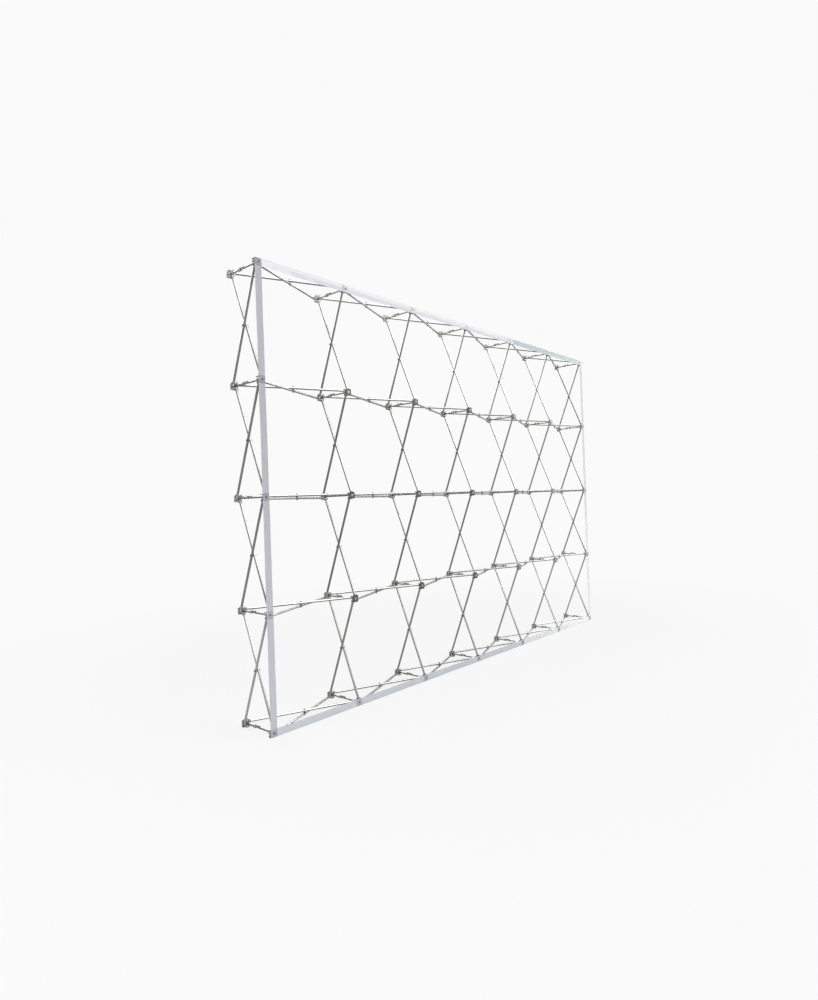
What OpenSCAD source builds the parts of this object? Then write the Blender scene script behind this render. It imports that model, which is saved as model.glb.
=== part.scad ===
// Pop-up backdrop frame: a straight double-layer scissor lattice that folds into a bundle.
// Origin at the middle of the footprint, on the floor. X runs across, Y from front to back, Z up.

/* [Lattice] */
// Bays across the width
bays_across = 6; // [3:1:6]
// Bays up the height
bays_up = 4; // [2:1:4]
// Distance between neighbouring hub centres
pitch = 740; // [600:10:900]
// Distance between the front and back pivot planes when the frame stands open
open_depth = 280; // [260:5:340]

/* [Tubes] */
// Outer diameter of every tube
tube_d = 16; // [14:0.5:17]
// Wall of every tube
tube_wall = 1; // [0.8:0.1:1.6]
// Gap between the two tubes at a crossing, filled by the spacer
crossing_gap = 3; // [2:0.5:4]
// Diameter of the washers and spacers at a crossing
washer_d = 13; // [11:0.5:13]
// Thickness of a washer over the crown of its tube
washer_t = 2.5; // [1.5:0.5:4]

/* [Hubs] */
// Side of the hub's face plate
hub_side = 48; // [46:1:56]
// Thickness of the hub's face plate
hub_plate_t = 5; // [4:0.5:6]
// Depth from the hub's outer face to the pivot plane
pivot_set = 19; // [18:0.5:24]
// Distance of each tube's pin from the hub's centre line
pin_reach = 20; // [19:0.5:22]
// Radius of a clevis ear around its pin
ear_r = 9.5; // [9:0.5:10]
// Thickness of one clevis ear
ear_t = 4; // [3:0.5:5]
// Width of the nylon tongue between two ears
tongue_w = 11; // [10:0.5:11.5]
// Diameter of the pins in the hubs, the forks and the catches
pin_d = 5; // [4:0.5:6]
// Diameter of the round cap in a bare hub's face
cap_d = 25; // [22:1:30]
// Height of the cap above the face
cap_rise = 2.5; // [1.5:0.5:4]

/* [Straps] */
// Width of the loop tape round the front
strap_w = 50; // [40:1:56]
// Thickness of the loop tape
strap_t = 1.6; // [1:0.2:3]
// Side of the square plate that holds the tape at a hub
strap_plate_side = 46; // [40:1:50]
// Thickness of that plate
strap_plate_t = 3; // [2:0.5:4]

/* [Lock arms] */
// Diameter of the lock arm and of the post that it hooks on to
lock_d = 10; // [8:0.5:11]
// Distance of the catch pin behind the middle of the frame
catch_set = 36; // [20:2:50]
// Width of the hook
hook_w = 6.4; // [5:0.2:7]
// Radius of the curved finger on the post
finger_r = 2; // [1.5:0.25:3]

/* [Hidden] */
$fn = 48;

// Clearances: round things in their bores, flat things in their slots, the hook round its pin
bore_gap = 0.15;
slot_gap = 0.3;
hook_gap = 0.4;

// How far one part of a moulding runs into the next, and how far a cut runs past a face
bite = 1;

tube_r = tube_d / 2;
pin_r = pin_d / 2;
lock_r = lock_d / 2;
bar_side = (tube_d + crossing_gap) / 2;
span = pitch - 2 * pin_reach;
bar_length = sqrt(span * span + open_depth * open_depth);
bar_angle = atan2(open_depth, span);

ear_flat = 0.8;
foot_drop = pin_reach + ear_r - ear_flat;
hub_chamfer = 4;
hub_pocket = 0.8;
hub_rim = 2.5;
hub_core_half = pin_reach - tube_r - 0.5;
hub_core_rise = 2;
slot_w = tongue_w + 2 * slot_gap;
ear_inner = bar_side - slot_w / 2 - ear_t;
ear_outer = bar_side + slot_w / 2 + ear_t;
pin_head_r = pin_r + 1.7;
pin_head_t = 1.2;
pin_tail = 1.2;
screw_r = 2;
screw_head_r = 5;
screw_head_t = 2.2;
drive_r = 1.5;
drive_d = 1;
recess_r = screw_head_r + 1.6;
recess_d = screw_head_t + 1.6;
cap_edge = 0.8;
cap_crown = 0.8;
cap_groove_r = cap_d / 2 - 4;
cap_groove_w = 1.4;

tongue_r = ear_r - 2;
neck_half = sqrt(tube_r * tube_r - tongue_w * tongue_w / 4) - 0.1;
collar_start = ear_r + 0.7;
tube_start = collar_start + 1.8;
plug_r = tube_r - tube_wall - bore_gap;
plug_end = tube_start + 26;

rivet_reach = bar_side + tube_r + washer_t;
rivet_head_r = 4;
rivet_head_t = 2;
rivet_stud_r = 1.8;
rivet_stud_h = 3.8;
saddle_reach = 3;

base_r = pin_reach - ear_r - 0.5;
base_t = 5;
base_skin = 0.4;
cheek_t = 3.8;
cheek_r = 6;
eye_w = hook_w + 0.6;
arm_pivot = hub_core_rise + base_t + cheek_r + 1;
catch_front = open_depth / 2 + catch_set;
catch_back = open_depth / 2 - catch_set;
cheek_in = max(eye_w, hook_w) / 2 + slot_gap;
cheek_out = cheek_in + cheek_t;
lock_pin_half = cheek_out + 0.2;
lock_pin_lip = 1;

// The hook, measured forwards from the catch pin: where its arch starts and where the rod ends
arch_start = 48;
arch_h = 12;
hook_root = 22;
hook_wall = 5;

// What stands proud of the two faces sets where the lattice's middle plane lies
front_proud = strap_t + strap_plate_t + screw_head_t;
mid_y = (front_proud - cap_rise) / 2;
front_y = mid_y - open_depth / 2;
back_y = mid_y + open_depth / 2;

// The four clevises of a hub, as turns of the one that points right
turns = [0, -90, 180, 90];

function hub_x(c) = (c - bays_across / 2) * pitch;
function hub_z(r) = foot_drop + r * pitch;
function on_edge(c, r) = c == 0 || r == 0 || c == bays_across || r == bays_up;

// Does a hub's clevis k hold a tube? From behind, the same moulding points the other way.
function to_right(c, behind) = behind ? c > 0 : c < bays_across;
function to_left(c, behind) = behind ? c < bays_across : c > 0;
function in_use(c, r, k, behind) =
    [to_right(c, behind), r < bays_up, to_left(c, behind), r > 0][k];

function arc(at, r, from, to, steps = 5) =
    [for (i = [0:steps]) let (a = from + (to - from) * i / steps) at + r * [cos(a), sin(a)]];

function arm_name(r, c) = str("lock_arm_row", r + 1, "_col", c + 1);

// Places: a front hub looks along -Y from its pivot plane, a back hub is the same turned about Z
module at_front_hub(c, r) {
    translate([hub_x(c), front_y, hub_z(r)]) children();
}

module at_back_hub(c, r) {
    translate([hub_x(c), back_y, hub_z(r)]) rotate([0, 0, 180]) children();
}

module at_front_hubs() {
    for (r = [0:bays_up], c = [0:bays_across]) at_front_hub(c, r) children();
}

module at_back_hubs() {
    for (r = [0:bays_up], c = [0:bays_across]) at_back_hub(c, r) children();
}

// A crossing's own frame: Z along its rivet, X along the bay, Y to the back
module at_row_crossings() {
    for (r = [0:bays_up], c = [0:bays_across - 1])
        translate([hub_x(c) + pitch / 2, mid_y, hub_z(r)]) children();
}

module at_column_crossings() {
    for (c = [0:bays_across], r = [0:bays_up - 1])
        translate([hub_x(c), mid_y, hub_z(r) + pitch / 2]) rotate([0, 90, 0]) children();
}

// The two bars of a crossing, each with X along it
module lower_bar() {
    translate([0, 0, -bar_side]) rotate([0, 0, bar_angle]) children();
}

module upper_bar() {
    translate([0, 0, bar_side]) rotate([0, 0, -bar_angle]) children();
}

// Turns Z outwards through the hub's face
module outward() {
    rotate([90, 0, 0]) children();
}

// Draws an outline given in Y and Z as a plate of width w about the middle
module side_plate(w) {
    rotate([90, 0, 90]) translate([0, 0, -w / 2]) linear_extrude(w) children();
}

module chamfered_square(side, cut) {
    h = side / 2;
    polygon([
        [-h, -h + cut], [-h + cut, -h], [h - cut, -h], [h, -h + cut],
        [h, h - cut], [h - cut, h], [-h + cut, h], [-h, h - cut]
    ]);
}

// A clevis ear seen along its pin: a round head with a flat tip, on a web from the face plate
module ear_outline() {
    root = pivot_set - hub_plate_t + bite;
    tip = foot_drop;
    web_in = pin_reach - ear_r + 0.4;
    web_out = hub_side / 2 - 0.5;
    shoulder = 4;
    crown = 3;
    difference() {
        union() {
            intersection() {
                translate([pin_reach, 0]) circle(r = ear_r);
                translate([0, -ear_r - bite]) square([tip, 2 * (ear_r + bite)]);
            }
            polygon([
                [web_in, -root], [web_out, -root], [tip, -shoulder], [tip, crown],
                [pin_reach, crown], [web_in, 0]
            ]);
        }
        translate([pin_reach, 0]) circle(r = pin_r + bore_gap);
    }
}

// The two bored ears that stand on either side of a tube's tongue
module ear_pair() {
    for (z = [-ear_outer, -ear_inner - ear_t])
        translate([0, 0, z]) linear_extrude(ear_t) ear_outline();
}

// The block between the clevises, seen from behind. A tube folds down beside each of its steps.
module pinwheel_outline() {
    core = hub_core_half;
    wing = pin_reach - pin_r - 0.6;
    polygon([
        for (a = [0, 90, 180, 270], p = [[core, 0], [wing, 0], [wing, core]])
            [p[0] * cos(a) - p[1] * sin(a), p[0] * sin(a) + p[1] * cos(a)]
    ]);
}

// Nylon hub: chamfered face plate, pinwheel block, and four clevises each set off to one side
module hub_body() {
    difference() {
        union() {
            outward() translate([0, 0, pivot_set - hub_plate_t])
                linear_extrude(hub_plate_t) chamfered_square(hub_side, hub_chamfer);
            outward() translate([0, 0, -hub_core_rise])
                linear_extrude(hub_core_rise + pivot_set - hub_plate_t + bite) pinwheel_outline();
            for (a = turns) rotate([0, a, 0]) ear_pair();
        }
        outward() hub_face_cut();
    }
}

// The pocket inside the rim, the screw's recess and its bore through the block
module hub_face_cut() {
    floor_z = pivot_set - hub_pocket;
    side = hub_side - 2 * hub_rim;
    translate([-side / 2, -side / 2, floor_z]) cube([side, side, hub_pocket + bite]);
    translate([0, 0, floor_z - recess_d]) cylinder(r = recess_r, h = recess_d + bite);
    translate([0, 0, -hub_core_rise - bite])
        cylinder(r = screw_r + bore_gap, h = pivot_set + hub_core_rise);
}

module front_hubs() {
    color("dimgray") at_front_hubs() hub_body();
}

module back_hubs() {
    color("dimgray") at_back_hubs() hub_body();
}

// A round cap that closes the screw's recess: a ringed low dome with a short stub behind it
module hub_cap() {
    top = pivot_set + cap_rise;
    rim = top - cap_crown;
    seat = pivot_set - hub_pocket;
    stub_r = recess_r - bore_gap;
    groove_out = cap_groove_r + cap_groove_w;
    outward() rotate_extrude() polygon([
        [0, seat - bite], [stub_r, seat - bite], [stub_r, seat], [cap_d / 2, seat],
        [cap_d / 2, rim - cap_edge], [cap_d / 2 - cap_edge, rim], [groove_out, rim],
        [groove_out, rim - cap_edge], [cap_groove_r, rim - cap_edge], [cap_groove_r, rim],
        [0.6 * cap_groove_r, top - 0.3 * cap_crown], [0, top]
    ]);
}

module hub_caps() {
    color("gray") {
        for (r = [0:bays_up], c = [0:bays_across])
            if (!on_edge(c, r)) at_front_hub(c, r) hub_cap();
        at_back_hubs() hub_cap();
    }
}

// A pan-head screw along the hub's centre line, with its head's underside at height seat
module centre_screw(seat) {
    tip = -hub_core_rise - base_t + base_skin + 0.2;
    top = seat + screw_head_t;
    edge = 0.9;
    outward() rotate_extrude() polygon([
        [0, tip], [screw_r, tip], [screw_r, seat], [screw_head_r, seat],
        [screw_head_r - edge, top], [drive_r, top], [drive_r, top - drive_d], [0, top - drive_d]
    ]);
}

module hub_screws() {
    seat = pivot_set - hub_pocket - recess_d;
    color("silver") {
        for (r = [0:bays_up], c = [0:bays_across])
            if (!on_edge(c, r)) at_front_hub(c, r) centre_screw(seat);
        at_back_hubs() centre_screw(seat);
    }
}

// The pin of one clevis, with a broad head outside and a short tail inside
module hub_pin() {
    head = ear_outer + pin_head_t;
    tail = head - ear_inner + pin_tail;
    edge = 0.6;
    translate([pin_reach, 0, -head]) rotate_extrude() polygon([
        [0, 0], [pin_head_r - edge, 0], [pin_head_r, pin_head_t], [pin_r, pin_head_t],
        [pin_r, tail], [0, tail]
    ]);
}

module hub_pins(c, r, behind) {
    for (k = [0:3]) if (in_use(c, r, k, behind)) rotate([0, turns[k], 0]) hub_pin();
}

module front_hub_pins() {
    color("black") for (r = [0:bays_up], c = [0:bays_across]) at_front_hub(c, r) hub_pins(c, r, false);
}

module back_hub_pins() {
    color("black") for (r = [0:bays_up], c = [0:bays_across]) at_back_hub(c, r) hub_pins(c, r, true);
}

// A hollow tube between its two end fittings, punched square through for the crossing rivet
module tube() {
    length = bar_length - 2 * tube_start;
    hole = pin_r + bore_gap;
    difference() {
        rotate([0, 90, 0]) cylinder(r = tube_r, h = length, center = true);
        rotate([0, 90, 0]) cylinder(r = tube_r - tube_wall, h = length + 2, center = true);
        rotate([0, 0, 45]) cube([2 * hole, 2 * hole, 2 * tube_d], center = true);
    }
}

module row_tubes_lower() {
    color("gainsboro") at_row_crossings() lower_bar() tube();
}

module row_tubes_upper() {
    color("gainsboro") at_row_crossings() upper_bar() tube();
}

module column_tubes_left() {
    color("gainsboro") at_column_crossings() lower_bar() tube();
}

module column_tubes_right() {
    color("gainsboro") at_column_crossings() upper_bar() tube();
}

// The nylon fitting in a tube's end: a bored tongue, a collar against the tube, a plug inside it
module tube_end() {
    difference() {
        union() {
            translate([0, 0, -tongue_w / 2]) linear_extrude(tongue_w) {
                circle(r = tongue_r);
                translate([0, -neck_half]) square([collar_start + bite, 2 * neck_half]);
            }
            rotate([0, 90, 0]) rotate_extrude() polygon([
                [0, collar_start], [tube_r, collar_start], [tube_r, tube_start], [plug_r, tube_start],
                [plug_r, plug_end], [0, plug_end]
            ]);
        }
        cylinder(r = pin_r + bore_gap, h = tongue_w + 2, center = true);
    }
}

module both_ends() {
    for (a = [0, 180]) rotate([0, 0, a]) translate([-bar_length / 2, 0, 0]) tube_end();
}

module row_tube_ends() {
    color("darkgray") at_row_crossings() {
        lower_bar() both_ends();
        upper_bar() both_ends();
    }
}

module column_tube_ends() {
    color("darkgray") at_column_crossings() {
        lower_bar() both_ends();
        upper_bar() both_ends();
    }
}

// Rivet through both tubes: a low head below, and above a turned-over end with its pin showing
module rivet() {
    h = rivet_reach;
    head = h + rivet_head_t;
    stud = h + rivet_stud_h;
    crown_r = rivet_head_r - 1.6;
    rim = 0.7;
    rotate_extrude() polygon([
        [0, -head], [crown_r, -head], [rivet_head_r, -h], [pin_r, -h],
        [pin_r, h], [rivet_head_r, h], [rivet_head_r, h + rim], [rivet_stud_r, h + 2 * rim],
        [rivet_stud_r, stud - rim], [rivet_stud_r - rim, stud], [0, stud]
    ]);
}

module crossing_rivets() {
    color("black") {
        at_row_crossings() rivet();
        at_column_crossings() rivet();
    }
}

// The space round a tube that lies along X, under two flats that touch the tube's flanks
module saddle_space() {
    slope = 25;
    crest = tube_r / cos(slope);
    foot = crest - tube_d;
    run = tube_d / tan(slope);
    rotate([90, 0, 90]) linear_extrude(2 * washer_d, center = true)
        polygon([[0, crest], [-run, foot], [run, foot]]);
}

// Spacer between the tubes, with a shallow saddle for each on its two ends
module spacer() {
    difference() {
        cylinder(d = washer_d, h = crossing_gap + 2 * saddle_reach, center = true);
        lower_bar() saddle_space();
        upper_bar() rotate([180, 0, 0]) saddle_space();
        cylinder(r = pin_r + bore_gap, h = tube_d * 2, center = true);
    }
}

module crossing_spacers() {
    color("black") {
        at_row_crossings() spacer();
        at_column_crossings() spacer();
    }
}

// Washer between a rivet's end and its tube, saddled over the tube
module saddle_washer() {
    difference() {
        translate([0, 0, tube_r - saddle_reach])
            cylinder(d = washer_d, h = saddle_reach + washer_t);
        saddle_space();
        cylinder(r = pin_r + bore_gap, h = tube_d * 2, center = true);
    }
}

module washer_pair() {
    upper_bar() saddle_washer();
    lower_bar() rotate([180, 0, 0]) saddle_washer();
}

module crossing_washers() {
    color("black") {
        at_row_crossings() washer_pair();
        at_column_crossings() washer_pair();
    }
}

// A strap lies flat on the hub faces. Its ends are mitred, and it is pierced for every screw.
module strap(length, stations) {
    mitre_gap = 0.3;
    h = strap_w / 2;
    e = length / 2 - mitre_gap;
    outward() linear_extrude(strap_t) difference() {
        polygon([[-e + h, -h], [e - h, -h], [e + h, h], [-e - h, h]]);
        for (i = [0:stations])
            translate([(i / stations - 0.5) * length, 0]) circle(r = screw_r + slot_gap);
    }
}

module on_front_face(x, z, turn) {
    translate([x, front_y - pivot_set, z]) rotate([0, turn, 0]) children();
}

module strap_top() {
    color("whitesmoke") on_front_face(0, hub_z(bays_up), 0) strap(bays_across * pitch, bays_across);
}

module strap_bottom() {
    color("whitesmoke") on_front_face(0, hub_z(0), 180) strap(bays_across * pitch, bays_across);
}

module strap_left() {
    color("whitesmoke") on_front_face(hub_x(0), hub_z(bays_up / 2), -90)
        strap(bays_up * pitch, bays_up);
}

module strap_right() {
    color("whitesmoke") on_front_face(hub_x(bays_across), hub_z(bays_up / 2), 90)
        strap(bays_up * pitch, bays_up);
}

module strap_plates() {
    color("lightslategray") for (r = [0:bays_up], c = [0:bays_across])
        if (on_edge(c, r)) at_front_hub(c, r) outward()
            translate([0, 0, pivot_set + strap_t]) difference() {
                linear_extrude(strap_plate_t) chamfered_square(strap_plate_side, 2);
                translate([0, 0, -1]) cylinder(r = screw_r + bore_gap, h = strap_plate_t + 2);
            }
}

module strap_screws() {
    color("silver") for (r = [0:bays_up], c = [0:bays_across])
        if (on_edge(c, r)) at_front_hub(c, r) centre_screw(pivot_set + strap_t + strap_plate_t);
}

// The round foot of a fork or a post on the hub's core, tapped for the centre screw
module lock_base() {
    outward() translate([0, 0, -hub_core_rise - base_t]) difference() {
        cylinder(r = base_r, h = base_t);
        tapped_hole();
    }
}

// The blind hole in a foot, open towards the hub
module tapped_hole() {
    translate([0, 0, base_skin]) cylinder(r = screw_r + bore_gap / 2, h = base_t);
}

module cheek_pair() {
    for (s = [-1, 1]) translate([s * (cheek_in + cheek_t / 2), 0, 0]) side_plate(cheek_t) children();
}

module cross_bore(y) {
    translate([0, y, 0]) rotate([0, 90, 0])
        cylinder(r = pin_r + bore_gap / 2, h = 2 * cheek_out + 2, center = true);
}

// Fork on a front hub, in which the lock arm hinges
module arm_fork() {
    root = hub_core_rise + base_t - bite;
    difference() {
        union() {
            lock_base();
            cheek_pair() {
                translate([arm_pivot, 0]) circle(r = cheek_r);
                translate([root, -cheek_r]) square([arm_pivot - root, 2 * cheek_r]);
            }
        }
        cross_bore(arm_pivot);
    }
}

module arm_forks() {
    color("dimgray") at_front_hubs() arm_fork();
}

// The arch and hook on an arm's end, with the catch pin's centre as origin
module hook_outline() {
    slot = pin_r + hook_gap;
    outer = slot + hook_wall;
    knee = [8 - arch_start, arch_h - 3];
    nose = [2, arch_h - 2];
    mouth = arch_h - 4.5;
    polygon(concat(
        [[-arch_start, 0], [2 - arch_start, 4]], arc(knee, 5, 160, 60, 3),
        [[18 - arch_start, arch_h], [nose[0] - 12, arch_h]], arc(nose, 5, 120, 0, 4),
        [[outer, 6], [outer, -4], [outer - 1, -5], [slot, -5], [slot, slot], [-slot, slot],
            [-slot, -5], [1 - outer, -5], [-outer, -4], [-outer, mouth], [3 - hook_root, mouth],
            [-hook_root, 4], [-hook_root, 0]]
    ));
}

// Lock arm: an eye on the fork's pin, a round rod, and the hook that drops over the catch pin
module lock_arm(r, c) {
    rod_start = arm_pivot + cheek_r + 2;
    rod_end = catch_front - hook_root;
    neck_h = lock_d - 2;
    color("darkslategray") at_front_hub(c, r) difference() {
        union() {
            side_plate(eye_w) {
                translate([arm_pivot, 0]) circle(r = cheek_r);
                translate([arm_pivot, -neck_h / 2]) square([rod_start - arm_pivot + 2, neck_h]);
            }
            translate([0, rod_start, 0]) rotate([-90, 0, 0])
                cylinder(r = lock_r, h = rod_end - rod_start);
            translate([0, catch_front, 0]) side_plate(hook_w) hook_outline();
        }
        cross_bore(arm_pivot);
    }
}

// Lock post on a back hub: a round rod that ends in a slotted block with the catch pin
module lock_post() {
    mouth = 10;
    block = 10;
    slot_end = catch_back - mouth;
    rod_start = hub_core_rise + bite;
    difference() {
        union() {
            lock_base();
            translate([0, rod_start, 0]) rotate([-90, 0, 0])
                cylinder(r = lock_r, h = slot_end - rod_start);
            translate([0, slot_end - block, 0]) side_plate(2 * cheek_out) post_outline(mouth, block);
        }
        translate([-cheek_in, slot_end, -lock_d]) cube([2 * cheek_in, 3 * mouth, 2 * lock_d]);
        cross_bore(catch_back);
        outward() translate([0, 0, -hub_core_rise - base_t]) tapped_hole();
    }
}

module post_outline(mouth, block) {
    cut = 2;
    far = block + 2 * mouth;
    h = cheek_r;
    polygon([
        [0, -h + cut], [cut, -h], [far - cut, -h], [far, -h + cut],
        [far, h - cut], [far - cut, h], [cut, h], [0, h - cut]
    ]);
}

module lock_posts() {
    color("dimgray") at_back_hubs() lock_post();
}

// Hinge pin or catch pin, with a low head on each end
module lock_pin() {
    lip_r = pin_r + lock_pin_lip;
    edge = 0.6;
    in = lock_pin_half;
    out = lock_pin_half + lock_pin_lip;
    rotate([0, 90, 0]) rotate_extrude() polygon([
        [0, -out], [lip_r - edge, -out], [lip_r, -in], [pin_r, -in],
        [pin_r, in], [lip_r, in], [lip_r - edge, out], [0, out]
    ]);
}

module lock_pins() {
    color("silver") {
        at_front_hubs() translate([0, arm_pivot, 0]) lock_pin();
        at_back_hubs() translate([0, catch_back, 0]) lock_pin();
    }
}

// Clip round the post's root with two curved fingers: one rises towards the front, the other
// runs forwards and bends down
module guide_finger() {
    ring_y = hub_core_rise + base_t + 0.5;
    ring_w = 8;
    ring_r = lock_r + 2.5;
    lug_foot = ring_r - 1.3;
    lug_h = 3.3;
    root_y = ring_y + ring_w / 2;
    root_z = ring_r + 0.5;
    translate([0, ring_y, 0]) rotate([-90, 0, 0]) difference() {
        cylinder(r = ring_r, h = ring_w);
        translate([0, 0, -bite]) cylinder(r = lock_r + bore_gap, h = ring_w + 2 * bite);
    }
    for (z = [lug_foot, -lug_foot - lug_h])
        translate([-finger_r, ring_y, z]) cube([2 * finger_r, ring_w, lug_h]);
    bent_finger([root_y, root_z], 60, 145, 120);
    bent_finger([root_y, -root_z], 26, 90, 35);
}

// A square finger bent round an arc of radius r from its root
module bent_finger(root, r, from, to) {
    bend_at = root - r * [cos(from), sin(from)];
    translate([0, bend_at[0], bend_at[1]]) rotate([90, 0, 90]) rotate([0, 0, to])
        rotate_extrude(angle = from - to)
            translate([r, 0]) square(2 * finger_r, center = true);
}

module guide_fingers() {
    color("dimgray") at_back_hubs() guide_finger();
}

front_hubs();
back_hubs();
hub_caps();
hub_screws();
front_hub_pins();
back_hub_pins();
row_tubes_lower();
row_tubes_upper();
column_tubes_left();
column_tubes_right();
row_tube_ends();
column_tube_ends();
crossing_rivets();
crossing_spacers();
crossing_washers();
strap_top();
strap_bottom();
strap_left();
strap_right();
strap_plates();
strap_screws();
arm_forks();
lock_posts();
lock_pins();
guide_fingers();
for (r = [0:bays_up], c = [0:bays_across])
    lock_arm(r, c);
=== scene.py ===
import math

import bpy
from mathutils import Matrix, Vector


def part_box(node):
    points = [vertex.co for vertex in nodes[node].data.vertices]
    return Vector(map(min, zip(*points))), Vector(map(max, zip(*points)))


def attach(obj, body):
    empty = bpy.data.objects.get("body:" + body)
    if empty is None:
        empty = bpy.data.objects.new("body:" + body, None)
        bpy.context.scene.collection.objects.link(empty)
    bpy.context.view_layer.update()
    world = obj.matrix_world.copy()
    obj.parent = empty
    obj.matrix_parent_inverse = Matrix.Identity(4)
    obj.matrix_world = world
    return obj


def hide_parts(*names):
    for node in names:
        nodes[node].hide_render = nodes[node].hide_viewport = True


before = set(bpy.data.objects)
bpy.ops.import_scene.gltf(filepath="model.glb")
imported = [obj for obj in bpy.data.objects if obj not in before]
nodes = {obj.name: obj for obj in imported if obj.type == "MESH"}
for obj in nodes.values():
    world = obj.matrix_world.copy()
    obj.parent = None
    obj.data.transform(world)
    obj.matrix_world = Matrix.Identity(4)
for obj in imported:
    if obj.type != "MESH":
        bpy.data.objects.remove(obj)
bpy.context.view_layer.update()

# The camera stands low in front of the frame's left end, and looks along it with a wide lens,
# so that the near end towers and the far end is small.
EYE = Vector((-4.5465, -3.4114, 1.4457))
EYE_RIGHT = Vector((0.66228, -0.74843, -0.03527))
EYE_UP = Vector((0.02086, -0.02864, 0.99937))
EYE_AHEAD = Vector((0.74897, 0.66260, 0.00336))
LENS_MM = 22.394
SIGHT = 100  # metres

camera = bpy.data.objects.new("camera", bpy.data.cameras.new("camera"))
bpy.context.scene.collection.objects.link(camera)
camera.data.lens = LENS_MM
camera.data.clip_end = SIGHT
turn = Matrix((EYE_RIGHT, EYE_UP, -EYE_AHEAD)).transposed()
camera.matrix_world = Matrix.Translation(EYE) @ turn.to_quaternion().to_matrix().to_4x4()
bpy.context.scene.camera = camera


# Tubes: drawn aluminium tube, 16 mm across, satin anodised, and pinned to a hub at each end.
# They cross in pairs like scissors. Each of the four nodes holds tubes that lie one way, so
# their drawing lines run that way.
TUBE_RUN = 0.700   # from pin to pin, along the frame or up it
TUBE_RISE = 0.280  # and through its depth
SCISSOR_ANGLE = math.atan2(TUBE_RISE, TUBE_RUN)


def linear(code):
    """An sRGB hex colour as linear red, green, blue and alpha."""
    colour = []
    for i in (1, 3, 5):
        part = int(code[i:i + 2], 16) / 255
        colour.append(part / 12.92 if part <= 0.04045 else ((part + 0.055) / 1.055) ** 2.4)
    return colour + [1.0]


def per_metre(millimetres):
    """How many of a pattern's features of this size come to a metre: its texture's scale."""
    return 1000 / millimetres


def add(material, kind, inputs=None, stops=(), **settings):
    """A node in the material's tree, with its settings, and its inputs set or linked. Colours
    are hex codes. Stops are the places and colours of a colour ramp."""
    node = material.node_tree.nodes.new(kind)
    for name, value in settings.items():
        setattr(node, name, value)
    for name, value in (inputs or {}).items():
        if isinstance(value, bpy.types.NodeSocket):
            material.node_tree.links.new(value, node.inputs[name])
        else:
            node.inputs[name].default_value = linear(value) if isinstance(value, str) else value
    elements = node.color_ramp.elements if stops else []
    while len(elements) < len(stops):
        elements.new(0.5)
    for element, (place, code) in zip(elements, stops):
        element.position = place
        element.color = linear(code)
    return node


def new_material(name):
    """A material with nothing in its tree yet."""
    material = bpy.data.materials.new(name)
    material.use_nodes = True
    material.node_tree.nodes.clear()
    return material


def tinted(material, colour, tone, value, start, end, share=1.0, curve="LINEAR"):
    """The colour, which goes over to tone by share as the value goes from start to end."""
    part = add(material, "ShaderNodeMapRange", {
        "Value": value, "From Min": start, "From Max": end, "To Max": share},
        interpolation_type=curve).outputs[0]
    return add(material, "ShaderNodeMix", {0: part, 6: colour, 7: tone},
               data_type="RGBA").outputs[2]


def painted_light_and_shade(material, place, colour, tone, patches):
    """The colour, which goes over to tone in patches of the frame, as painted light and shade. A
    patch is a share, and slopes that bound it, each an axis, where the patch ends and where it is
    full.
    Hubs stand 0.74 m apart, in columns from x = -2.22 to 2.22 and in rows from z = 0.03 to 2.99."""
    along = add(material, "ShaderNodeSeparateXYZ", {0: place}).outputs
    most = 0.0
    for share, *slopes in patches:
        for axis, end, full in slopes:
            share = add(material, "ShaderNodeMapRange", {
                "Value": along[axis], "From Min": end, "From Max": full,
                "To Max": share}).outputs[0]
        most = add(material, "ShaderNodeMath", {0: most, 1: share},
                   operation="MAXIMUM").outputs[0]
    return tinted(material, colour, tone, most, 0.0, 1.0)


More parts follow.
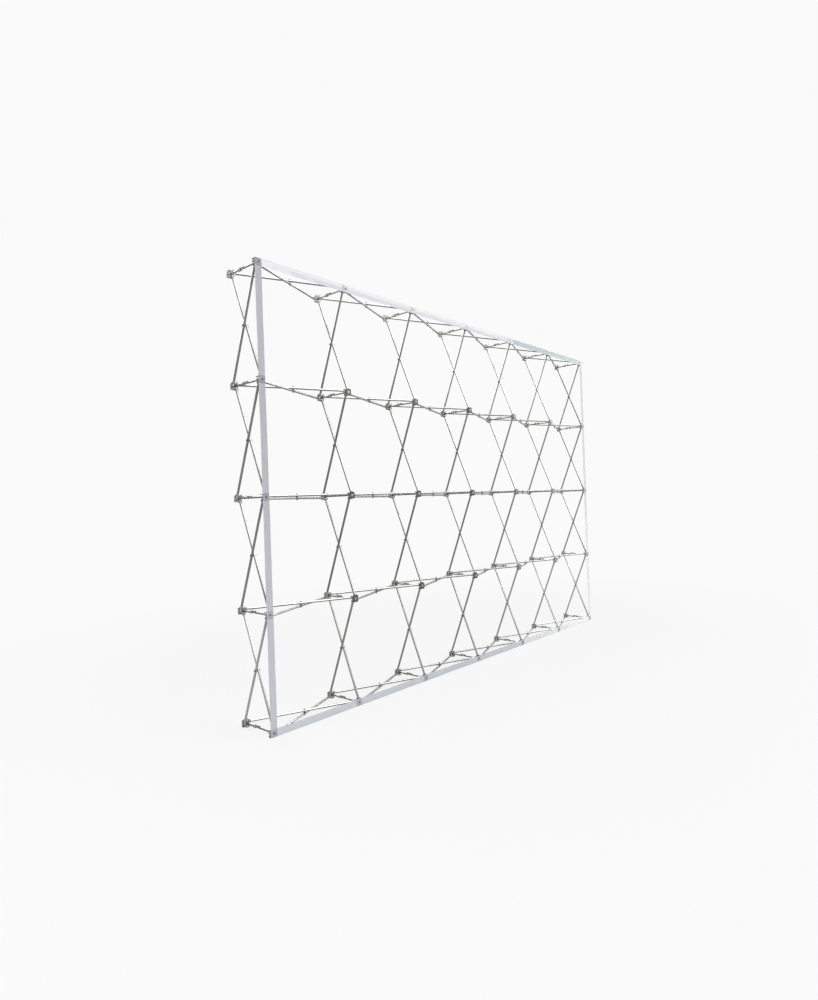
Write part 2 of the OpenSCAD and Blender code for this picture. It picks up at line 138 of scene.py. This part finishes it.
def anodised_aluminium(name, turned, painted_shade, end_painted_shade):
    """Drawn tube, etched and anodised. The oxide scatters some of the light, so the metal shows
    soft grey with a wide pale gleam, faint lines along it and cloudy patches. It is painted paler
    in patches as painted light. painted_shade is how much darker it is painted in the second and
    third columns, as painted shade, and end_painted_shade high up at the right end."""
    material = new_material(name)
    place = add(material, "ShaderNodeTexCoord").outputs["Object"]
    along = add(material, "ShaderNodeMapping", {"Vector": place, "Rotation": turned},
                vector_type="TEXTURE").outputs[0]
    # Drawing lines are about 0.5 mm wide and 143 mm long, drawn 1.54 mm wide so that they show
    across = per_metre(1.5385)
    stretched = add(material, "ShaderNodeMapping", {
        "Vector": along, "Scale": (per_metre(142.9), across, across)}).outputs[0]
    line = add(material, "ShaderNodeTexNoise", {
        "Vector": stretched, "Scale": 1.0, "Detail": 2.0}).outputs["Fac"]
    # Anodising clouds are 125 mm across, and rub marks 8 mm where tubes slide past each other
    cloud = add(material, "ShaderNodeTexNoise", {
        "Vector": along, "Scale": per_metre(125), "Detail": 2.0}).outputs["Fac"]
    rub = add(material, "ShaderNodeTexNoise", {
        "Vector": place, "Scale": per_metre(8.333), "Detail": 3.0}).outputs["Fac"]
    mixed = add(material, "ShaderNodeMix", {"Factor": 0.45, "A": cloud, "B": line}).outputs[0]
    colour = add(material, "ShaderNodeValToRGB", {"Fac": mixed}, stops=[
        (0.30, "#6f6f6e"), (0.52, "#7b7b7a"), (0.72, "#888887")]).outputs[0]
    colour = tinted(material, colour, "#969695", rub, 0.60, 0.72, share=0.35)
    # Painted light, paler: the middle of the top bays, the foot at the left end, all along and at
    # the right end, and the right half below the fourth row
    colour = painted_light_and_shade(material, place, colour, "#e0e0de", [
        (0.17, ("X", -0.9, -0.3), ("X", 2.1, 1.6), ("Z", 2.28, 2.40), ("Z", 2.95, 2.90)),
        (0.25, ("X", -1.405, -2.2), ("Z", 0.85, 0.65)),
        (0.03, ("Z", 0.85, 0.65)),
        (0.26, ("X", 0.143, 1.5), ("Z", 0.85, 0.65)),
        (0.07, ("X", 0.3, 1.5), ("Z", 2.2, 1.6))])
    # Painted shade, darker: the second and third columns between the second row and the fourth, and
    # high at the right end
    colour = painted_light_and_shade(material, place, colour, "#3c3c3b", [
        (painted_shade, ("X", -2.1, -1.7), ("X", 0.3, -0.6), ("Z", 0.70, 0.85), ("Z", 2.80, 2.25)),
        (end_painted_shade, ("X", 1.1, 2.2), ("Z", 1.2, 2.4))])
    roughness = add(material, "ShaderNodeMapRange", {
        "Value": line, "To Min": 0.22, "To Max": 0.34}).outputs[0]
    bump = add(material, "ShaderNodeBump", {
        "Height": line, "Strength": 0.12, "Distance": 0.0004}).outputs[0]
    shader = add(material, "ShaderNodeBsdfPrincipled", {
        "Base Color": colour, "Metallic": 0.85, "Roughness": roughness, "Normal": bump})
    add(material, "ShaderNodeOutputMaterial", {"Surface": shader.outputs[0]})
    return material


# Each node's turn, and how much painted shade darkens its tubes in the second and third columns and
# at the right end
TUBES = {
    "row_tubes_lower": ((0, 0, SCISSOR_ANGLE), 0.0, 0.0),
    "row_tubes_upper": ((0, 0, -SCISSOR_ANGLE), 0.0, 0.0),
    "column_tubes_left": ((-SCISSOR_ANGLE, math.pi / 2, 0), 0.32, 0.0),
    "column_tubes_right": ((SCISSOR_ANGLE, math.pi / 2, 0), 0.32, 0.65),
}


def dress(node, material):
    """Gives a node of the CAD its material."""
    mesh = nodes[node].data
    mesh.materials.clear()
    mesh.materials.append(material)


for node, (turned, painted_shade, end_painted_shade) in TUBES.items():
    dress(node, anodised_aluminium("anodised_aluminium_" + node, turned, painted_shade, end_painted_shade))


# Tube ends: light grey nylon, moulded, pressed into both ends of every tube. The mould leaves a
# fine even grain and a slightly cloudy colour, and rubbing leaves the edges paler.
def moulded_nylon(name, dark, middle, light, edge_wear_and_shade, rough=0.42, gloss=0.5, black_foot=None,
                  catch=None, face=None, painted_light=0.0, top_painted_light=0.0):
    """Nylon with glass in it: cloudy tones over 30 mm, grain of the spark-eroded mould, and rounded
    edges in the edge tone: paler where rubbed, and darker on the front hubs as painted shade.
    Behind the plane y = black_foot it is black, and near y = catch it is olive. face is a tone
    painted on the flat faces that look to the front as their light and shade, and gloss how
    strongly all of it mirrors. painted_light is how much paler it is painted to the right, as
    painted light, and top_painted_light in the top row."""
    material = new_material(name)
    place = add(material, "ShaderNodeTexCoord").outputs["Object"]
    cloud = add(material, "ShaderNodeTexNoise", {
        "Vector": place, "Scale": per_metre(30.3), "Detail": 3.0}).outputs["Fac"]
    # The grain is about 0.2 mm, drawn at 1.11 mm so that it shows
    speck = add(material, "ShaderNodeTexNoise", {
        "Vector": place, "Scale": per_metre(1.1111), "Detail": 2.0}).outputs["Fac"]
    mixed = add(material, "ShaderNodeMix", {"Factor": 0.35, "A": cloud, "B": speck}).outputs[0]
    colour = add(material, "ShaderNodeValToRGB", {"Fac": mixed}, stops=[
        (0.32, dark), (0.50, middle), (0.68, light)]).outputs[0]
    # The moulding's edges are rounded by about 0.6 mm, and take the edge tone where the rounding
    # turns away from the flat face: paler where rubbed, and darker on the front hubs as painted
    # shade
    flat = add(material, "ShaderNodeNewGeometry").outputs["Normal"]
    rounded = add(material, "ShaderNodeBevel", {"Radius": 0.0006}, samples=4).outputs[0]
    agree = add(material, "ShaderNodeVectorMath", {0: rounded, 1: flat},
                operation="DOT_PRODUCT").outputs["Value"]
    if face:
        # The faces that look to the front take a painted tone: painted shade on the front hubs and
        # painted light on the back hubs
        facing = add(material, "ShaderNodeSeparateXYZ", {0: flat}).outputs["Y"]
        colour = tinted(material, colour, face, facing, -0.90, -0.98)
    colour = tinted(material, colour, edge_wear_and_shade, agree, 0.99, 0.80, share=0.6)
    if painted_light:
        # Painted light: paler to the right and in the top row
        colour = painted_light_and_shade(material, place, colour, "#d8dad8", [
            (painted_light, ("X", 0.2, 1.4), ("Z", 2.6, 2.4)),
            (top_painted_light, ("X", -3.0, -0.9), ("X", 2.0, 0.9), ("Z", 2.6, 2.8))])
    depth = add(material, "ShaderNodeSeparateXYZ", {0: place}).outputs["Y"]
    if catch:
        # The catch reaches 22 mm from its middle, and 10 mm more as its colour fades
        off = add(material, "ShaderNodeMath", {0: depth, 1: catch}, operation="SUBTRACT").outputs[0]
        off = add(material, "ShaderNodeMath", {0: off}, operation="ABSOLUTE").outputs[0]
        colour = tinted(material, colour, "#7d7e73", off, 0.032, 0.022, curve="SMOOTHSTEP")
    if black_foot:
        colour = tinted(material, colour, "#1f1f1d", depth, black_foot - 0.0004, black_foot)
    roughness = add(material, "ShaderNodeMapRange", {
        "Value": cloud, "To Min": rough - 0.06, "To Max": rough + 0.08}).outputs[0]
    bump = add(material, "ShaderNodeBump", {
        "Height": speck, "Strength": 0.25, "Distance": 0.0002, "Normal": rounded}).outputs[0]
    shader = add(material, "ShaderNodeBsdfPrincipled", {
        "Base Color": colour, "Roughness": roughness, "IOR": 1.53,
        "Specular IOR Level": gloss, "Normal": bump})
    add(material, "ShaderNodeOutputMaterial", {"Surface": shader.outputs[0]})
    return material


end_nylon = moulded_nylon("moulded_nylon_light_grey", "#8c8d8b", "#9a9b99", "#a7a8a6", "#b8b9b7")
for node in ("row_tube_ends", "column_tube_ends"):
    dress(node, end_nylon)


# Hubs: one grey nylon moulding with an olive tint, front and back, with blackened steel pins
# through its ears for the tube ends. A zinc-plated screw goes through its middle, under a cap of
# the same nylon in a lighter grey.
def plated_steel(name, dark, light, rough):
    """Steel with a thin coat: small uneven patches in tone and gloss from handling."""
    material = new_material(name)
    place = add(material, "ShaderNodeTexCoord").outputs["Object"]
    patch = add(material, "ShaderNodeTexNoise", {
        "Vector": place, "Scale": per_metre(4.545), "Detail": 3.0}).outputs["Fac"]
    colour = add(material, "ShaderNodeValToRGB", {"Fac": patch}, stops=[
        (0.35, dark), (0.65, light)]).outputs[0]
    roughness = add(material, "ShaderNodeMapRange", {
        "Value": patch, "To Min": rough, "To Max": rough + 0.15}).outputs[0]
    shader = add(material, "ShaderNodeBsdfPrincipled", {
        "Base Color": colour, "Metallic": 1.0, "Roughness": roughness})
    add(material, "ShaderNodeOutputMaterial", {"Surface": shader.outputs[0]})
    return material


olive_greys = ("#5f6059", "#6d6e66", "#7d7e75", "#8a8b81")
hub_nylon = moulded_nylon("moulded_nylon_olive_grey", *olive_greys, rough=0.30, painted_light=0.3,
                          top_painted_light=0.5)
# The front hubs' faces that look to the front, and their rounded edges, are painted dark as painted
# shade
front_hub_nylon = moulded_nylon("moulded_nylon_painted_shade_face", *olive_greys[:3], "#3b3c37", rough=0.30,
                                gloss=0.2, face="#44453f", painted_light=0.40)
# The back hubs' faces that look to the front are painted pale as painted light
back_hub_nylon = moulded_nylon("moulded_nylon_painted_light_face", *olive_greys, rough=0.24, gloss=0.9,
                               face="#dcdcd7", painted_light=0.32, top_painted_light=0.8)
cap_nylon = moulded_nylon("moulded_nylon_cap_grey", "#7e7f79", "#8d8e87", "#9fa098", "#adaea6",
                          rough=0.26, painted_light=0.35, top_painted_light=0.6)
zinc = plated_steel("zinc_plated_steel", "#a2a3a2", "#c6c7c6", 0.28)
black_steel = plated_steel("blackened_steel", "#1b1b1b", "#2c2c2b", 0.35)
dress("front_hubs", front_hub_nylon)
dress("back_hubs", back_hub_nylon)
dress("hub_caps", cap_nylon)
dress("hub_screws", zinc)
dress("front_hub_pins", black_steel)
dress("back_hub_pins", black_steel)


# Crossings: a blackened rivet through both tubes, with a black nylon spacer between them and a
# black nylon washer saddled over each.
black_nylon = moulded_nylon("moulded_nylon_black", "#171717", "#1f1f1e", "#292928", "#3c3c3a")
dress("crossing_rivets", black_steel)
dress("crossing_spacers", black_nylon)
dress("crossing_washers", black_nylon)


# Lock arms: a fork on each front hub and a post on each back hub hold the frame open. The arm
# hinges in the fork and hooks over the post's pin. All are nylon: brown-grey rods, an olive-grey
# hook and catch, and a black foot under each post.
CATCH_AHEAD = 0.018  # of the backs of the catch pins
FOOT_LENGTH = 0.010
CATCH_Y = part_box("lock_pins")[1].y - CATCH_AHEAD
POST_FOOT_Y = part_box("lock_posts")[1].y - FOOT_LENGTH
lock_colours = ("#45423e", "#504d48", "#5d5a54", "#6d6a63")
arm_nylon = moulded_nylon("moulded_nylon_arm_grey", *lock_colours, gloss=0.2, catch=CATCH_Y,
                          painted_light=0.15, top_painted_light=0.25)
post_nylon = moulded_nylon("moulded_nylon_post_grey", *lock_colours, gloss=0.2, catch=CATCH_Y,
                           black_foot=POST_FOOT_Y, painted_light=0.15, top_painted_light=0.25)
for node in nodes:
    if node.startswith("lock_arm_"):
        dress(node, arm_nylon)
dress("lock_posts", post_nylon)
dress("arm_forks", hub_nylon)
dress("guide_fingers", hub_nylon)
dress("lock_pins", zinc)


# Straps: 50 mm loop tape sewn to a webbing along both edges, and joined into a rectangle with
# mitred corners. It lies flat under each plate and waves by about a millimetre between them.
RIGHT = Vector((1, 0, 0))
UP = Vector((0, 0, 1))
FORWARD = Vector((0, -1, 0))
BAY = 0.740
TAPE_W = 0.050
TAPE_T = 0.0014
TAPE_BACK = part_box("strap_top")[1].y
EDGE_W = 0.0024         # the flat woven edge outside the pile
EDGE_T = 0.62 * TAPE_T
LIP_W = 0.0004          # the slope at each side of it
LIP_T = 0.3 * TAPE_T
MITRE_GAP = 0.0003
TAPE_STEP = 0.010
SEAM_OFF = 0.0212       # from the tape's middle line to each seam
SEAM_W = 0.0008
STITCH = 0.0030
STITCH_GAP = 0.0015
GRIP = 0.10             # the plates hold the tape down, less and less, this far from a hub's middle
WAVE = 0.0006
STRAY = 0.0005


def loop_tape(name, length, stops, upper=None):
    """Brushed loop tape, soft and matt, whose tone drifts from one end to the other as painted
    light and shade. Its woven edges are flat and stitched. upper is the tone of a paler outer half,
    painted light."""
    material = new_material(name)
    cloth = add(material, "ShaderNodeUVMap", uv_map="tape").outputs[0]
    part = add(material, "ShaderNodeSeparateXYZ", {0: cloth}).outputs
    # Soiling and light through the tape change its tone over about 143 mm
    drift = add(material, "ShaderNodeTexNoise", {
        "Vector": cloth, "Scale": per_metre(142.9), "Detail": 1.0}).outputs["Fac"]
    stray = add(material, "ShaderNodeMapRange", {
        "Value": drift, "From Min": 0.3, "From Max": 0.7,
        "To Min": -0.04, "To Max": 0.04}).outputs[0]
    reach = add(material, "ShaderNodeMapRange", {
        "Value": part["X"], "From Min": -length / 2, "From Max": length / 2}).outputs[0]
    strayed = add(material, "ShaderNodeMath", {0: reach, 1: stray}, operation="ADD").outputs[0]
    colour = add(material, "ShaderNodeValToRGB", {"Fac": strayed}, stops=stops).outputs[0]
    if upper:
        # The paler half, painted light, ends about two thirds of the way along
        left_part = add(material, "ShaderNodeMapRange", {
            "Value": reach, "From Min": 0.68, "From Max": 0.60},
            interpolation_type="SMOOTHSTEP").outputs[0]
        colour = tinted(material, colour, upper, part["Y"], 0.001, 0.006, share=left_part,
                        curve="SMOOTHSTEP")
    # Loops stand in rows about 1.2 mm apart, drawn at 5 mm so that they show. The rows of this
    # texture are pi / 10 of its unit apart. The pile between them is drawn 1.43 mm coarse
    rows = add(material, "ShaderNodeTexWave", {
        "Vector": cloth, "Scale": per_metre(4.987) * math.pi / 10, "Distortion": 3.0,
        "Detail": 2.0, "Detail Scale": 2.0}, bands_direction="X").outputs["Fac"]
    pile = add(material, "ShaderNodeTexNoise", {
        "Vector": cloth, "Scale": per_metre(1.4286), "Detail": 3.0}).outputs["Fac"]
    fine = add(material, "ShaderNodeMix", {"Factor": 0.4, "A": pile, "B": rows}).outputs[0]
    colour = tinted(material, colour, "#8f8f99", fine, 0.55, 0.30, share=0.16)
    # The seam's groove is painted darker as its shade, and the thread, drawn as wide as its seam,
    # lies a little paler in it
    across = add(material, "ShaderNodeMath", {0: part["Y"]}, operation="ABSOLUTE").outputs[0]
    on_seam = add(material, "ShaderNodeMath", {0: across, 1: SEAM_OFF, 2: SEAM_W / 2},
                  operation="COMPARE").outputs[0]
    run = add(material, "ShaderNodeMath", {0: part["X"], 1: STITCH + STITCH_GAP},
              operation="FLOORED_MODULO").outputs[0]
    thread = add(material, "ShaderNodeMath", {0: run, 1: STITCH}, operation="LESS_THAN").outputs[0]
    stitch = add(material, "ShaderNodeMath", {0: on_seam, 1: thread},
                 operation="MULTIPLY").outputs[0]
    colour = tinted(material, colour, "#8a8a93", on_seam, 0.0, 1.0, share=0.22)
    colour = tinted(material, colour, "#f2f2f2", stitch, 0.0, 1.0, share=0.5)
    height = add(material, "ShaderNodeMath", {0: fine, 1: stitch}, operation="ADD").outputs[0]
    bump = add(material, "ShaderNodeBump", {
        "Height": height, "Strength": 0.22, "Distance": 0.0006}).outputs[0]
    shader = add(material, "ShaderNodeBsdfPrincipled", {
        "Base Color": colour, "Roughness": 0.92, "Specular IOR Level": 0.0, "Normal": bump})
    add(material, "ShaderNodeOutputMaterial", {"Surface": shader.outputs[0]})
    return material


def tape_section():
    """Points round the tape's section, each its place across the tape and its height: one woven
    edge, the raised pile, the other edge, and the plain back."""
    half = TAPE_W / 2
    pile_half = half - EDGE_W - LIP_W
    edge = [(-half, LIP_T), (-half + LIP_W, EDGE_T), (-half + EDGE_W, EDGE_T),
            (-pile_half, TAPE_T)]
    pile = [(pile_half * i / 4, TAPE_T) for i in range(-3, 4)]
    back = [((half - LIP_W) * i / 3, 0.0) for i in range(3, -4, -1)]
    other_edge = [(-across, height) for across, height in reversed(edge)]
    return edge + pile + other_edge + back


def tape(name, node, centre, along, outer, bays, material):
    """One mitred strip of tape. along and outer are the directions of its length and outer edge."""
    length = bays * BAY
    count = round(length / TAPE_STEP)
    ring = tape_section()
    points, places = [], []
    for i in range(count + 1):
        way = i / count
        spot = (way - 0.5) * length
        nearest = abs((way * bays) % 1 - 0.5) * 2  # 1 at a hub, 0 midway
        free = min(1.0, (1 - nearest) * BAY / 2 / GRIP)
        # It waves every 0.4 m or so, strays sideways and twists a little, in no even rhythm
        wave = free * WAVE * (1 + math.sin(spot * 17 + bays) * math.sin(spot * 5.3 + 1.7))
        stray = free * STRAY * math.sin(spot * 11 + 0.6)
        for across, height in ring:
            # The ends are cut to a mitre, so the outer edge is longer than the inner one
            reach = length / 2 - MITRE_GAP + across
            x = reach * (2 * way - 1)
            aside = across + stray * (1 if across > 0 else 0.4)
            twist = free * STRAY * math.sin(spot * 8 + 2) * across / (TAPE_W / 2)
            forward = FORWARD * (height + wave + abs(twist))
            points.append(centre + along * x + outer * aside + forward)
            places.append((x, across))
    size = len(ring)
    faces = [[i * size + j, i * size + (j + 1) % size,
              (i + 1) * size + (j + 1) % size, (i + 1) * size + j]
             for i in range(count) for j in range(size)]
    faces += [list(range(size))[::-1], [count * size + j for j in range(size)]]
    mesh = bpy.data.meshes.new(name)
    mesh.from_pydata(points, [], faces)
    mesh.validate()
    uv = mesh.uv_layers.new(name="tape")
    for corner, loop in zip(uv.data, mesh.loops):
        corner.uv = places[loop.vertex_index]
    mesh.polygons.foreach_set("use_smooth", [len(face) == 4 for face in faces])
    mesh.materials.append(material)
    piece = bpy.data.objects.new(name, mesh)
    bpy.context.scene.collection.objects.link(piece)
    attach(piece, "frame")
    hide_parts(node)
    return piece


# Each strip's tones are painted light and shade on a white tape, and run from its first end to its
# last: left to right on top, right to left at the bottom, upwards on the left and downwards on the
# right.
top_tape = loop_tape("loop_tape_top_painted_light_and_shade", 6 * BAY, [
    (0.02, "#eeeef1"), (0.08, "#dbdae1"), (0.45, "#dddce3"), (0.64, "#d9d8df"), (0.69, "#bdc5c9"),
    (0.83, "#c1c9cb"), (0.97, "#d0d6d8")], upper="#ecebef")
bottom_tape = loop_tape("loop_tape_bottom_painted_light_and_shade", 6 * BAY, [
    (0.00, "#f5f6f5"), (0.08, "#f3f5f5"), (0.167, "#e5e9e8"), (0.31, "#dce2e1"), (0.345, "#c8ccd1"),
    (0.55, "#c6cacf"), (0.95, "#ccd0d6")])
left_tape = loop_tape("loop_tape_left_painted_shade", 4 * BAY, [
    (0.05, "#c3c5cc"), (0.35, "#bebdc5"), (0.65, "#b6b5bb"), (0.95, "#bab9c1")])
right_tape = loop_tape("loop_tape_right_painted_light", 4 * BAY, [
    (0.1, "#d0d5d3"), (0.5, "#d4d7d5"), (0.7, "#e2e3e1"), (0.9, "#ecebea")])
bottom_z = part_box("strap_bottom")[0].z + TAPE_W / 2
top_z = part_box("strap_top")[1].z - TAPE_W / 2
side_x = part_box("strap_right")[1].x - TAPE_W / 2
middle_z = (bottom_z + top_z) / 2
for name, node, x, z, along, outer, bays, material, slot in (
    ("tape_top", "strap_top", 0, top_z, RIGHT, UP, 6, top_tape, "strap_upper"),
    ("tape_bottom", "strap_bottom", 0, bottom_z, -RIGHT, -UP, 6, bottom_tape, "strap_lower"),
    ("tape_left", "strap_left", -side_x, middle_z, UP, -RIGHT, 4, left_tape, "strap_lower"),
    ("tape_right", "strap_right", side_x, middle_z, -UP, RIGHT, 4, right_tape, "strap_right"),
):
    strip = tape(name, node, Vector((x, TAPE_BACK, z)), along, outer, bays, material)


# Plates: square grey plates that clamp the tape to the outer hubs, each with one dark screw. They
# are moulded in smoked acrylic. Those at the right end and the top are painted paler, as a painted
# reflection of the light.
def smoked_acrylic(name):
    """Translucent moulded acrylic: glossy, faintly blue-grey, with a cloudier tone in places."""
    material = new_material(name)
    place = add(material, "ShaderNodeTexCoord").outputs["Object"]
    cloud = add(material, "ShaderNodeTexNoise", {
        "Vector": place, "Scale": per_metre(40), "Detail": 2.0}).outputs["Fac"]
    colour = add(material, "ShaderNodeValToRGB", {"Fac": cloud}, stops=[
        (0.35, "#8c8f95"), (0.50, "#969aa0"), (0.66, "#a3a7ac")]).outputs[0]
    # Painted reflection, paler: the top from the second column to the fifth, low down, and to the
    # right below the top
    colour = painted_light_and_shade(material, place, colour, "#dfe0e3", [
        (0.55, ("X", -2.1, -1.6), ("X", 1.4, 0.8), ("Z", 2.6, 2.9)),
        (0.38, ("Z", 2.1, 0.8)),
        (0.55, ("X", -1.9, 2.2), ("Z", 2.9, 2.6))])
    roughness = add(material, "ShaderNodeMapRange", {
        "Value": cloud, "To Min": 0.20, "To Max": 0.28}).outputs[0]
    rounded = add(material, "ShaderNodeBevel", {"Radius": 0.0005}, samples=4).outputs[0]
    shader = add(material, "ShaderNodeBsdfPrincipled", {
        "Base Color": colour, "Roughness": roughness, "IOR": 1.49,
        "Specular IOR Level": 0.1, "Transmission Weight": 0.2, "Normal": rounded})
    add(material, "ShaderNodeOutputMaterial", {"Surface": shader.outputs[0]})
    return material


dress("strap_plates", smoked_acrylic("smoked_acrylic"))
dress("strap_screws", black_steel)


# The room: a plain pale floor that runs into a pale background, and soft light. Softboxes light
# the frame from the front and the left and, weakly, from the back. Gleams are softboxes that
# light nothing, and are only mirrored in the tubes and hubs.
BACKGROUND = "#fafafa"
SKY_LEVEL = 0.50
FLOOR_REACH = 40
FADE_START = 2.5  # from here outwards the floor runs into the background
FADE_END = 6.0


def seen_directly(material):
    """1 for what the camera sees itself, in a gloss or through something clear, otherwise 0."""
    ray = add(material, "ShaderNodeLightPath").outputs
    seen = add(material, "ShaderNodeMath", {0: ray["Is Camera Ray"], 1: ray["Is Glossy Ray"]},
               operation="MAXIMUM").outputs[0]
    return add(material, "ShaderNodeMath", {0: seen, 1: ray["Is Transmission Ray"]},
               operation="MAXIMUM").outputs[0]


def painted_board():
    """Matt board: it takes the frame's shadow near it, and fades to the background further off."""
    material = new_material("painted_board")
    place = add(material, "ShaderNodeNewGeometry").outputs["Position"]
    far = add(material, "ShaderNodeVectorMath", {0: place}, operation="LENGTH").outputs["Value"]
    grain = add(material, "ShaderNodeTexNoise", {
        "Vector": place, "Scale": per_metre(16.67), "Detail": 2.0}).outputs["Fac"]
    colour = add(material, "ShaderNodeValToRGB", {"Fac": grain}, stops=[
        (0.3, "#e9e9e9"), (0.7, "#eeeeee")]).outputs[0]
    lit = add(material, "ShaderNodeBsdfDiffuse", {"Color": colour}).outputs[0]
    pale = tinted(material, "#ffffff", BACKGROUND, far, FADE_START, FADE_END)
    plain = add(material, "ShaderNodeEmission", {"Color": pale, "Strength": 1.0}).outputs[0]
    faded = add(material, "ShaderNodeMapRange", {
        "Value": far, "From Min": FADE_START, "From Max": FADE_END, "To Min": 0.8}).outputs[0]
    share = add(material, "ShaderNodeMath", {0: faded, 1: seen_directly(material)},
                operation="MULTIPLY").outputs[0]
    shader = add(material, "ShaderNodeMixShader", {0: share, 1: lit, 2: plain})
    add(material, "ShaderNodeOutputMaterial", {"Surface": shader.outputs[0]})
    return material


corners = [(-1, -1), (1, -1), (1, 1), (-1, 1)]
floor_mesh = bpy.data.meshes.new("floor")
floor_mesh.from_pydata([(x * FLOOR_REACH, y * FLOOR_REACH, 0) for x, y in corners], [],
                       [(0, 1, 2, 3)])
floor_mesh.materials.append(painted_board())
floor = bpy.data.objects.new("floor", floor_mesh)
bpy.context.scene.collection.objects.link(floor)

world = bpy.data.worlds.new("world")
bpy.context.scene.world = world
world.use_nodes = True
world.node_tree.nodes.clear()
strength = add(world, "ShaderNodeMapRange", {
    "Value": seen_directly(world), "To Min": SKY_LEVEL}).outputs[0]
sky = add(world, "ShaderNodeBackground", {"Color": BACKGROUND, "Strength": strength})
add(world, "ShaderNodeOutputWorld", {"Surface": sky.outputs[0]})

AIM = Vector((0, 0, 1.6))
WHITE_WATTS = 4  # for each square metre, what a lamp needs to look just white
GLEAM_LEVEL = 6.0


def softbox(name, place, width, height, brightness, gleam=False):
    """A soft lamp of the given size in metres, turned to the frame, which the camera itself
    doesn't see. Its brightness is that of a white card in full light times this number. A gleam
    is only mirrored, and lights nothing."""
    data = bpy.data.lights.new(name, "AREA")
    data.shape = "RECTANGLE"
    data.size, data.size_y = width, height
    data.energy = WHITE_WATTS * width * height * brightness
    lamp = bpy.data.objects.new(name, data)
    bpy.context.scene.collection.objects.link(lamp)
    lamp.location = place
    lamp.rotation_euler = (AIM - Vector(place)).to_track_quat("-Z", "Y").to_euler()
    lamp.visible_camera = False
    lamp.visible_diffuse = not gleam
    lamp.visible_glossy = gleam


softbox("front_softbox", (2.5, -8.5, 3.8), 10.0, 6.0, 2.1)
softbox("left_softbox", (-9.0, -1.0, 3.0), 6.0, 4.0, 3.0)
softbox("back_softbox", (-1.0, 9.0, 6.0), 9.0, 5.0, 1.0)
softbox("front_gleam", (-2.4, -7.6, 7.6), 9.0, 6.0, GLEAM_LEVEL, gleam=True)
softbox("right_gleam", (10.6, -7.6, 8.6), 12.5, 6.5, GLEAM_LEVEL, gleam=True)
softbox("high_gleam", (2.0, -5.0, 13.0), 18.0, 8.0, GLEAM_LEVEL, gleam=True)
softbox("end_gleam", (10.0, -2.2, 6.0), 4.0, 5.0, GLEAM_LEVEL, gleam=True)
softbox("left_gleam", (0.6, 8.0, 7.8), 11.0, 5.8, GLEAM_LEVEL, gleam=True)

# Colours come out as they are, with no film look
bpy.context.scene.view_settings.view_transform = "Standard"
